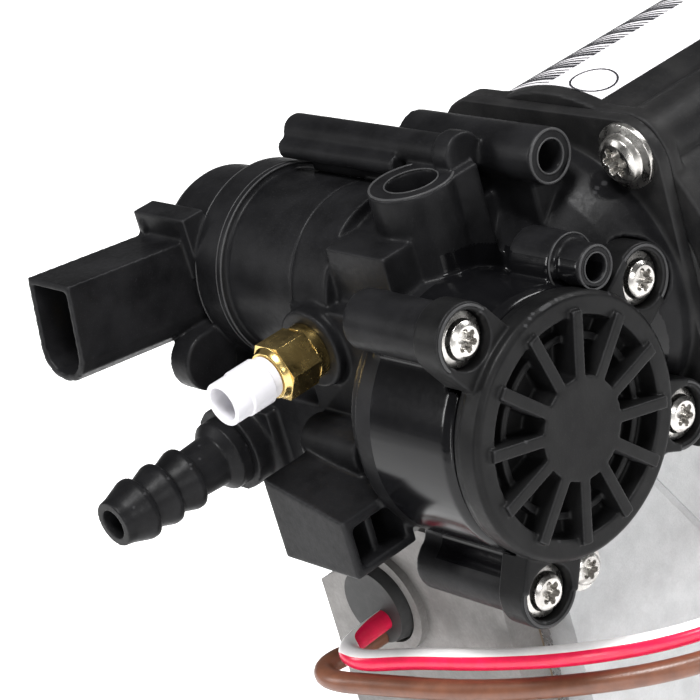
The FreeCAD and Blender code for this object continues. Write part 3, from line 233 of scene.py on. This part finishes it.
def insulation(name, colour, shade, rough, fibre):
    """Drawn plastic insulation with fine marks."""
    paint = Paint(name, Roughness=rough, IOR=1.5)
    cloud = paint.ramp(paint.noise(260.0, 4.0), 0.35, 0.65, 0.0, 1.0)
    paint.colour(paint.mix(cloud, colour, shade))
    paint.bump((paint.noise(1400.0, 2.0), fibre))
    return paint.material


def magnet_paint(name, colour, rough):
    paint = Paint(name, Roughness=rough)
    paint.bump((paint.noise(1200.0, 3.0), 0.00003))
    cloud = paint.ramp(paint.noise(200.0, 3.0), 0.3, 0.7, 0.0, 1.0)
    paint.colour(paint.mix(cloud, colour, tuple(value * 1.4 for value in colour)))
    return paint.material


def beads(name):
    """Desiccant beads, packed close, with painted shade darkening the gaps between them."""
    paint = Paint(name, Roughness=0.5)
    cells = paint.node("ShaderNodeTexVoronoi")
    cells.inputs["Scale"].default_value = 450.0
    paint.link(paint.coordinates(), cells.inputs["Vector"])
    # Painted shade: the gaps between the beads are darkened.
    gap_shade = paint.ramp(cells.outputs["Distance"], 0.25, 0.6, 0.0, 1.0)
    paint.colour(paint.mix(gap_shade, (0.86, 0.84, 0.78), (0.35, 0.33, 0.29)))
    paint.bump((paint.ramp(cells.outputs["Distance"], 0.0, 0.6, 1.0, 0.0), 0.0008))
    return paint.material


NYLON = nylon("glass_filled_nylon", (0.0045, 0.0045, 0.005), (0.028, 0.028, 0.03), 0.4, 0.00002)
NYLON_FLANGE = nylon("nylon_flange", (0.008, 0.008, 0.0085), (0.04, 0.039, 0.038), 0.46, 0.000025)
NYLON_CHAMBER = nylon(
    "polished_nylon", (0.003, 0.003, 0.0035), (0.01, 0.01, 0.011), 0.16, 0.000002,
    wear=0.05, gloss=0.22, uneven=0.02,
)
NYLON_CAP = nylon("nylon_cap", (0.004, 0.004, 0.0043), (0.022, 0.022, 0.022), 0.42, 0.000018, 0.25)
FITTING_PLASTIC = nylon("fitting_plastic", (0.010, 0.010, 0.010), (0.035, 0.035, 0.035), 0.36, 0.00001)
# Painted highlight: lighter nylon for the thin rings round rims, where light catches the edges.
RIM_HIGHLIGHT = nylon("painted_rim_highlight", (0.03, 0.03, 0.031), (0.09, 0.09, 0.09), 0.34, 0.00001)
LABEL = plastic("label_paper", (0.84, 0.82, 0.85), 0.5)
INK = plastic("label_ink", (0.02, 0.02, 0.025), 0.5)
STEEL = metal("screw_steel", (0.6, 0.585, 0.56), (0.24, 0.225, 0.21), 0.28, 0.000012, 1800.0, 0.1)
SPRING_STEEL = metal("spring_steel", (0.62, 0.62, 0.62), (0.3, 0.3, 0.3), 0.3, 0.00001)
MACHINED = metal("machined_steel", (0.56, 0.56, 0.57), (0.3, 0.3, 0.3), 0.28, 0.00001)
BRASS = metal("brass", (0.83, 0.62, 0.25), (0.5, 0.33, 0.1), 0.24, 0.00001, 1500.0, 0.08)
CAST = metal("cast_aluminium", (0.24, 0.232, 0.225), (0.15, 0.143, 0.138), 0.6, 0.00005, 1300.0, 0.1, 0.35)
BLASTED = metal(
    "blasted_aluminium", (0.44, 0.445, 0.45), (0.33, 0.333, 0.337), 0.55, 0.00004, 2300.0, 0.08, 0.45,
)
COPPER = metal("copper", (0.75, 0.36, 0.2), (0.4, 0.17, 0.09), 0.35, 0.00003, 900.0)
ZINC = metal("zinc_plated_steel", (0.6, 0.61, 0.62), (0.42, 0.42, 0.42), 0.42, 0.00001, 800.0)
LAMINATION = metal("lamination", (0.3, 0.3, 0.31), (0.15, 0.15, 0.15), 0.45, 0.00003)
MAGNET = magnet_paint("magnet", (0.05, 0.05, 0.055), 0.5)
BRACKET = magnet_paint("powder_coat", (0.018, 0.018, 0.02), 0.45)
RUBBER = rubber("rubber", (0.018, 0.018, 0.018))
SEAL = rubber("seal_polymer", (0.2, 0.15, 0.1))
WHITE_PLASTIC = plastic("white_plastic", (0.66, 0.65, 0.68), 0.35, 0.3)
DESICCANT = beads("desiccant")
WIRE_RED = insulation("red_insulation", (0.74, 0.012, 0.07), (0.62, 0.01, 0.05), 0.25, 0.00001)
WIRE_WHITE = insulation("white_insulation", (0.86, 0.83, 0.83), (0.78, 0.76, 0.76), 0.3, 0.00001)
WIRE_BROWN = insulation("brown_insulation", (0.17, 0.065, 0.035), (0.12, 0.045, 0.025), 0.36, 0.00003)

SLOT_LOOKS = {
    "black_nylon": NYLON,
    "black_fitting_plastic": FITTING_PLASTIC,
    "screw_steel": STEEL,
    "spring_steel": SPRING_STEEL,
    "machined_steel": MACHINED,
    "brass": BRASS,
    "white_plastic": WHITE_PLASTIC,
    "cast_aluminium": CAST,
    "blasted_aluminium": BLASTED,
    "rubber": RUBBER,
    "seal_polymer": SEAL,
    "copper": COPPER,
    "magnet": MAGNET,
    "lamination": LAMINATION,
    "plated_steel": ZINC,
    "bracket_paint": BRACKET,
    "desiccant": DESICCANT,
    "red_white_insulation": WIRE_RED,
    "brown_insulation": WIRE_BROWN,
}
NODE_SLOT = {part["node"]: part["material_slot"] for part in frame["record"]["subparts"]}
NODE_BODY = {
    node: body
    for body, nodes in frame["record"]["behaviour"]["bodies"].items()
    for node in nodes
}


def paint_cad_nodes():
    for name, thing in frame["nodes"].items():
        look = SLOT_LOOKS[NODE_SLOT[name]]
        thing.data.materials.clear()
        thing.data.materials.append(look)


# ---------------------------------------------------------------- solid helpers

def sideways(axis):
    """Two unit vectors square to an axis."""
    axis = axis.normalized()
    other = Z if abs(axis.z) < 0.9 else X
    first = other.cross(axis).normalized()
    return first, axis.cross(first)


def add_lathe(mesh, profile, origin, axis, segments=96):
    """Turn (radius, distance) points about an axis. A profile that ends off the axis is a ring."""
    origin = Vector(origin)
    axis = Vector(axis).normalized()
    first, second = sideways(axis)
    closed_ring = profile[0][0] > 0 or profile[-1][0] > 0
    rows = []
    for radius, distance in profile:
        spot = origin + axis * distance
        if radius <= 0:
            rows.append([mesh.verts.new(spot)] * segments)
        else:
            rows.append([
                mesh.verts.new(spot + radius * (first * cos(turn) + second * sin(turn)))
                for turn in (2 * pi * i / segments for i in range(segments))
            ])
    pairs = list(zip(rows, rows[1:]))
    if closed_ring:
        pairs.append((rows[-1], rows[0]))
    for one, two in pairs:
        for i in range(segments):
            j = (i + 1) % segments
            corners = []
            for vert in (one[i], one[j], two[j], two[i]):
                if vert not in corners:
                    corners.append(vert)
            if len(corners) > 2:
                mesh.faces.new(corners)


def add_node(mesh, name):
    """A copy of a CAD node's mesh, in millimetres from the dryer point."""
    start = len(mesh.verts)
    mesh.from_mesh(frame["nodes"][name].data)
    mesh.verts.ensure_lookup_table()
    for vert in mesh.verts[start:]:
        vert.co = vert.co / MM - DRYER


def linked(name, mesh, scale=True):
    """An object from a bmesh in millimetres from the dryer point."""
    bmesh.ops.recalc_face_normals(mesh, faces=mesh.faces)
    if scale:
        for vert in mesh.verts:
            vert.co = (vert.co + DRYER) * MM
    data = bpy.data.meshes.new(name)
    mesh.to_mesh(data)
    mesh.free()
    thing = bpy.data.objects.new(name, data)
    bpy.context.scene.collection.objects.link(thing)
    return thing


def applied(thing):
    """Bake an object's modifiers into its mesh."""
    graph = bpy.context.evaluated_depsgraph_get()
    baked = bpy.data.meshes.new_from_object(thing.evaluated_get(graph))
    old = thing.data
    thing.modifiers.clear()
    thing.data = baked
    bpy.data.meshes.remove(old)
    return thing


def remesh(thing, voxel):
    modifier = thing.modifiers.new("voxels", "REMESH")
    modifier.mode = "VOXEL"
    modifier.voxel_size = voxel * MM
    return applied(thing)


def finished(thing, looks, body, replaced=()):
    """Give a piece its looks, body and the CAD nodes that it stands for."""
    if thing.data.materials:
        thing.data.materials.clear()
    for look in looks if isinstance(looks, (list, tuple)) else (looks,):
        thing.data.materials.append(look)
    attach(thing, body)
    if replaced:
        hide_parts(*replaced)
    return thing


def shade_smooth(thing):
    thing.data.polygons.foreach_set("use_smooth", [True] * len(thing.data.polygons))
    thing.data.update()


class Mould:
    """A moulded piece: solids melted together, then other solids taken out of them."""

    def __init__(self, name, voxel, melt):
        self.name = name
        self.voxel = voxel
        self.melt = melt
        self.more = bmesh.new()
        self.less = bmesh.new()

    def build(self):
        solid = remesh(linked(self.name, self.more), self.voxel)
        if self.less.faces:
            tool = remesh(linked(self.name + "_tool", self.less), self.voxel)
            modifier = solid.modifiers.new("cut", "BOOLEAN")
            modifier.operation = "DIFFERENCE"
            modifier.object = tool
            modifier.solver = "MANIFOLD"
            applied(solid)
            bpy.data.objects.remove(tool)
            remesh(solid, self.voxel)
        modifier = solid.modifiers.new("melt", "SMOOTH")
        modifier.factor = 0.5
        modifier.iterations = self.melt
        applied(solid)
        shade_smooth(solid)
        return solid


def softened(name, nodes, width, angle=28.0, segments=2, look=None):
    """A copy of CAD nodes with their sharp edges rounded."""
    mesh = bmesh.new()
    for node in nodes:
        add_node(mesh, node)
    bmesh.ops.remove_doubles(mesh, verts=mesh.verts, dist=0.001)
    bmesh.ops.dissolve_limit(mesh, angle_limit=radians(0.6), verts=mesh.verts, edges=mesh.edges)
    thing = linked(name, mesh)
    modifier = thing.modifiers.new("bevel", "BEVEL")
    modifier.width = width * MM
    modifier.segments = segments
    modifier.limit_method = "ANGLE"
    modifier.angle_limit = radians(angle)
    modifier.harden_normals = False
    modifier.use_clamp_overlap = True
    applied(thing)
    shade_smooth(thing)
    modifier = thing.modifiers.new("flats", "WEIGHTED_NORMAL")
    modifier.keep_sharp = True
    applied(thing)
    body = NODE_BODY[nodes[0]]
    return finished(thing, look or SLOT_LOOKS[NODE_SLOT[nodes[0]]], body, nodes)


EAR_ANGLES = (123, 32, -25, -116.5)
EAR_REACH = 34.7


def ear(x, angle, reach=EAR_REACH):
    turn = radians(angle)
    return Vector((x, CAP.y + reach * cos(turn), CAP.z + reach * sin(turn)))


# ---------------------------------------------------------------- valve head

def look_by_place(thing, choose):
    """Give each face the look whose number its own place chooses, in millimetres."""
    for face in thing.data.polygons:
        face.material_index = choose(face.center / MM - DRYER, face.normal)


# The chamber wall, as distances from the cap's axis and places along X.
WALL_INSIDE, WALL_OUTSIDE = 19.0, 33.5
WALL_START, WALL_END = 3.0, CAP.x - 4.0
FLANGE_FACE = -0.6


def head_look(spot, normal):
    """Polished on the chamber wall, satin on the flange, plain elsewhere."""
    reach = ((spot.y - CAP.y) ** 2 + (spot.z - CAP.z) ** 2) ** 0.5
    if WALL_START < spot.x < WALL_END and WALL_INSIDE < reach < WALL_OUTSIDE and spot.y < 0:
        return 1
    if spot.y > FLANGE_FACE:
        return 2
    return 0


CAP_DEPTH = 9.0
CHAMBER_FRONT = Vector((CAP.x - CAP_DEPTH, CAP.y, CAP.z))


def valve_head():
    mould = Mould("valve_head_moulding", 0.42, 5)
    add_node(mould.more, "valve_head")
    shoulder = ((28.9, -2.6), (28.9, 0.6), (26.6, 0.6), (27.5, -0.3), (28.1, -1.4))
    add_lathe(mould.less, shoulder, CHAMBER_FRONT, X)
    thing = mould.build()
    finished(thing, (NYLON, NYLON_CHAMBER, NYLON_FLANGE), "housing", ["valve_head"])
    look_by_place(thing, head_look)


COIL_AXIS = Vector((0, -33.6, 12.1))
CUP_RIM = Vector((-5.3, -33.5, 37.2))
TOP_TUBE_END = Vector((15.9, -13.5, 36.0))
SMALL_TUBE_END = Vector((32.9, -23.8, 18.0))
SMALL_SLEEVE_END = SMALL_TUBE_END - X * 7.0


def painted_rim_highlights():
    """Painted highlights: fine raised rings of lighter nylon round open ends and rims, standing in for the
    light that catches their edges.
    """
    rings = (
        (COIL_AXIS + X * -52.0, X, 22.0, 0.22), (COIL_AXIS + X * -61.0, X, 21.9, 0.16),
        (COIL_AXIS + X * -53.6, X, 22.05, 0.14), (CUP_RIM, Z, 9.0, 0.3), (CUP_RIM, Z, 5.8, 0.2),
        (TOP_TUBE_END, X, 5.6, 0.3), (TOP_TUBE_END, X, 3.7, 0.2),
        (SMALL_TUBE_END, X, 4.5, 0.25), (SMALL_TUBE_END, X, 3.1, 0.18), (SMALL_SLEEVE_END, X, 6.2, 0.2),
    )
    ear_rims = tuple((ear(CAP.x - 4.9, angle), X, 7.1, 0.3) for angle in EAR_ANGLES)
    mesh = bmesh.new()
    for origin, axis, radius, thick in rings + ear_rims:
        section = [
            (radius + thick * cos(radians(45 * i)), thick * sin(radians(45 * i))) for i in range(8)
        ]
        add_lathe(mesh, section, origin, axis, 120)
    thing = linked("painted_rim_highlights", mesh)
    shade_smooth(thing)
    finished(thing, RIM_HIGHLIGHT, "housing")


def spoked_cap():
    mould = Mould("spoked_cap_moulding", 0.3, 4)
    add_node(mould.more, "spoked_cap")
    skirt = ((20.0, 0.3), (27.2, 0.3), (27.8, 0.9), (27.8, 3.0), (20.0, 3.0))
    add_lathe(mould.more, skirt, CHAMBER_FRONT, X)
    thing = mould.build()
    finished(thing, NYLON_CAP, "housing", ["spoked_cap"])


def solenoid():
    mould = Mould("solenoid_moulding", 0.4, 5)
    add_node(mould.more, "solenoid_housing")
    finished(mould.build(), NYLON, "housing", ["solenoid_housing"])
    mould = Mould("solenoid_end_cap_moulding", 0.4, 6)
    add_node(mould.more, "solenoid_end_cap")
    finished(mould.build(), NYLON, "housing", ["solenoid_end_cap"])


def nozzle():
    mould = Mould("hose_nozzle_moulding", 0.25, 4)
    add_node(mould.more, "hose_nozzle")
    finished(mould.build(), NYLON, "housing", ["hose_nozzle"])


def canister():
    mould = Mould("dryer_canister_moulding", 0.6, 4)
    add_node(mould.more, "dryer_canister")
    finished(mould.build(), NYLON_FLANGE, "housing", ["dryer_canister"])


LABEL_RADIUS = 41.3
LABEL_NEAR, LABEL_FAR = 6.6, 62.0
LABEL_ANGLES = (72.0, 160.0)
BAR_ANGLES = (94.5, 130.0)
BAR_COUNT, BAR_PITCH = 32, 1.6


def label_patch(mesh, low_angle, high_angle, near, far, height, thick, steps=24):
    """A thin sheet that follows the canister."""
    rows = []
    for radius in (LABEL_RADIUS + height, LABEL_RADIUS + height + thick):
        for y in (near, far):
            rows.append([
                mesh.verts.new((radius * cos(turn), y, radius * sin(turn)))
                for turn in (
                    radians(low_angle + (high_angle - low_angle) * step / steps) for step in range(steps + 1)
                )
            ])
    inner_near, inner_far, outer_near, outer_far = rows
    for one, two in (
        (inner_far, inner_near), (outer_near, outer_far), (inner_near, outer_near), (outer_far, inner_far)
    ):
        for i in range(steps):
            mesh.faces.new((one[i], one[i + 1], two[i + 1], two[i]))
    for end in (0, steps):
        mesh.faces.new((inner_near[end], inner_far[end], outer_far[end], outer_near[end]))


def canister_label():
    sheet = bmesh.new()
    label_patch(sheet, *LABEL_ANGLES, LABEL_NEAR, LABEL_FAR, 0.02, 0.12, 48)
    thing = linked("canister_label", sheet)
    finished(thing, LABEL, "housing")
    print_marks = bmesh.new()
    for index in range(BAR_COUNT):
        y = LABEL_NEAR + 0.8 + index * BAR_PITCH
        width = 0.4 + 0.25 * (index * 7 % 4)
        label_patch(print_marks, *BAR_ANGLES, y, y + width, 0.2, 0.03, 16)
    add_ring_mark(print_marks, 81.3, 11.6, 5.3, 5.3, 0.5)
    thing = linked("label_marks", print_marks)
    finished(thing, INK, "housing")


def add_ring_mark(mesh, angle, y, long, short, width, steps=72):
    """A plain oval line printed on the label."""
    rows = []
    for grow in (0.0, width):
        rows.append([])
        for step in range(steps):
            turn = 2 * pi * step / steps
            around = radians(angle) + (long - grow) * cos(turn) / LABEL_RADIUS
            place = y + (short - grow) * sin(turn)
            radius = LABEL_RADIUS + 0.23
            rows[-1].append(mesh.verts.new((radius * cos(around), place, radius * sin(around))))
    for i in range(steps):
        j = (i + 1) % steps
        mesh.faces.new((rows[0][i], rows[0][j], rows[1][j], rows[1][i]))


def metal_parts():
    softened("outlet_fitting_turned", ["outlet_fitting"], 0.25)
    softened("transport_plug_moulding", ["transport_plug"], 0.3)
    softened("cap_screws_detailed", ["cap_screws"], 0.14)
    softened("flange_screws_detailed", ["flange_screws"], 0.18)
    softened("crankcase_casting", ["crankcase"], 0.8)
    softened("cylinder_head_casting", ["cylinder_head"], 0.5)
    softened("head_screws_detailed", ["head_screws"], 0.15)
    for name, width in (
        ("mounting_bracket", 0.8), ("motor_can", 0.8), ("motor_end_bell", 0.8), ("dryer_saddle", 0.8),
        ("rubber_feet", 1.0), ("wire_grommet", 0.5),
    ):
        softened(name + "_softened", [name], width)


# ---------------------------------------------------------------- wires

# The corners of each wire's route, from the grommet to the plug.
RED_ROUTE = (
    (-33.4, -49.0, -66.5), (-33.4, -57.0, -66.5), (-32.8, -65.5, -66.6), (-25.5, -67.5, -66.4),
    (-14.0, -61.5, -66.0), (3.0, -55.0, -65.8), (21.0, -44.5, -66.0), (37.0, -29.0, -66.4),
    (45.0, -10.0, -67.0), (45.5, 8.0, -67.6), (40.0, 20.0, -68.2), (30.5, 29.5, -68.6),
    (22.5, 38.5, -68.8), (19.0, 48.5, -68.8), (19.0, 58.0, -68.8),
)
BROWN_ROUTE = (
    (-36.4, -49.0, -71.4), (-36.4, -58.0, -71.4), (-39.4, -68.0, -71.0), (-33.5, -72.0, -71.0),
    (-20.0, -67.5, -71.0), (0.0, -60.0, -71.6), (19.0, -49.0, -71.8), (37.5, -34.0, -71.8),
    (48.5, -14.0, -72.4), (49.5, 8.0, -73.4), (43.0, 24.0, -74.0), (31.5, 33.0, -74.2),
    (23.0, 41.0, -74.2), (19.0, 50.0, -74.2), (19.0, 58.0, -74.2),
)
WIRE_DIAMETER = 4.8


def route_curve(name, route, radius):
    data = bpy.data.curves.new(name, "CURVE")
    data.dimensions = "3D"
    data.resolution_u = 24
    data.bevel_depth = radius * MM
    data.bevel_resolution = 8
    spline = data.splines.new("NURBS")
    spline.points.add(len(route) - 1)
    for point, corner in zip(spline.points, route):
        point.co = (*placed(corner), 1.0)
    spline.order_u = 3
    spline.use_endpoint_u = True
    thing = bpy.data.objects.new(name, data)
    bpy.context.scene.collection.objects.link(thing)
    return thing


def centreline(route):
    """The points of the route's own smooth spline."""
    thing = route_curve("route", route, 0.0)
    bpy.context.view_layer.update()
    graph = bpy.context.evaluated_depsgraph_get()
    line = bpy.data.meshes.new_from_object(thing.evaluated_get(graph))
    points = [vert.co.copy() for vert in line.vertices]
    bpy.data.meshes.remove(line)
    bpy.data.objects.remove(thing)
    return points


def striped_tube(name, path, radius, stripe_way):
    """A tube along a path, with a white stripe centred on a changing direction."""
    mesh = bmesh.new()
    segments = 40
    rows = []
    distance = 0.0
    for index, point in enumerate(path):
        before = path[max(index - 1, 0)]
        after = path[min(index + 1, len(path) - 1)]
        along = (after - before).normalized()
        if index:
            distance += (point - path[index - 1]).length
        way = stripe_way(distance / MM)
        first = (way - along * way.dot(along)).normalized()
        second = along.cross(first)
        rows.append([
            mesh.verts.new(point + radius * MM * (first * cos(turn) + second * sin(turn)))
            for turn in (2 * pi * i / segments for i in range(segments))
        ])
    for one, two in zip(rows, rows[1:]):
        for i in range(segments):
            j = (i + 1) % segments
            face = mesh.faces.new((one[i], one[j], two[j], two[i]))
            angle = 2 * pi * (i + 0.5) / segments
            face.material_index = 1 if cos(angle) > 0 else 0
            face.smooth = True
    mesh.faces.new(list(reversed(rows[0])))
    mesh.faces.new(rows[-1])
    return linked(name, mesh, scale=False)


def red_stripe(distance):
    """Up and away from the front once the wire has turned, and turned well round at the grommet."""
    settled = Vector((-0.43, 0.61, 0.68))
    start = Vector((-0.75, 0.45, -0.2))
    blend = min(max((distance - 6.0) / 16.0, 0.0), 1.0)
    return start.lerp(settled, blend).normalized()


def wires():
    plug = softened("wire_plug_detailed", ["wire_plug"], 0.5)
    path = centreline(RED_ROUTE)
    red = striped_tube("red_white_wire", path, WIRE_DIAMETER / 2, red_stripe)
    finished(red, (WIRE_RED, WIRE_WHITE), "housing", ["wire_red_white"])
    brown = route_curve("brown_wire", BROWN_ROUTE, WIRE_DIAMETER / 2)
    brown.data.use_fill_caps = True
    finished(brown, WIRE_BROWN, "housing", ["wire_brown"])


# ---------------------------------------------------------------- stage

def area_light(name, place, target, size, power, tint=(1.0, 1.0, 1.0)):
    data = bpy.data.lights.new(name, "AREA")
    data.shape = "RECTANGLE"
    data.size, data.size_y = size
    data.energy = power
    data.color = tint
    lamp = bpy.data.objects.new(name, data)
    bpy.context.scene.collection.objects.link(lamp)
    way = Vector(target) - Vector(place)
    lamp.matrix_world = Matrix.Translation(place) @ way.to_track_quat("-Z", "Y").to_matrix().to_4x4()


def stage():
    scene = bpy.context.scene
    scene.view_settings.view_transform = "Standard"
    world = bpy.data.worlds.new("studio")
    world.use_nodes = True
    world.node_tree.nodes["Background"].inputs["Color"].default_value = (1.0, 1.0, 1.0, 1.0)
    world.node_tree.nodes["Background"].inputs["Strength"].default_value = 0.15
    scene.world = world
    bpy.ops.mesh.primitive_plane_add(size=8.0, location=(0, 0, 0))
    floor = bpy.context.object
    floor.name = "floor"
    paint = Paint("pale_floor", Roughness=0.8)
    cloud = paint.ramp(paint.noise(3.0, 2.0), 0.3, 0.7, 0.0, 1.0)
    paint.colour(paint.mix(cloud, (0.93, 0.93, 0.93), (0.95, 0.95, 0.95)))
    paint.shader.inputs["Emission Color"].default_value = (1.0, 1.0, 1.0, 1.0)
    paint.shader.inputs["Emission Strength"].default_value = 0.7
    floor.data.materials.append(paint.material)
    target = placed((0, -40, 0))
    area_light("key", target + Vector((0.25, -0.25, 0.95)), target, (0.3, 0.3), 13.0)
    area_light("fill", target + Vector((0.95, -0.25, 0.35)), target, (0.25, 0.25), 3.6)
    area_light("side", target + Vector((-0.55, -0.75, 0.45)), target, (0.15, 0.5), 4.0)
    area_light("streak", target + Vector((0.45, -0.75, -0.05)), target, (0.05, 0.5), 1.6)
    area_light("rim", target + Vector((0.35, 0.75, 0.65)), target, (0.2, 0.6), 7.0)


camera()
paint_cad_nodes()
wires()
valve_head()
spoked_cap()
solenoid()
nozzle()
canister()
painted_rim_highlights()
canister_label()
metal_parts()
stage()
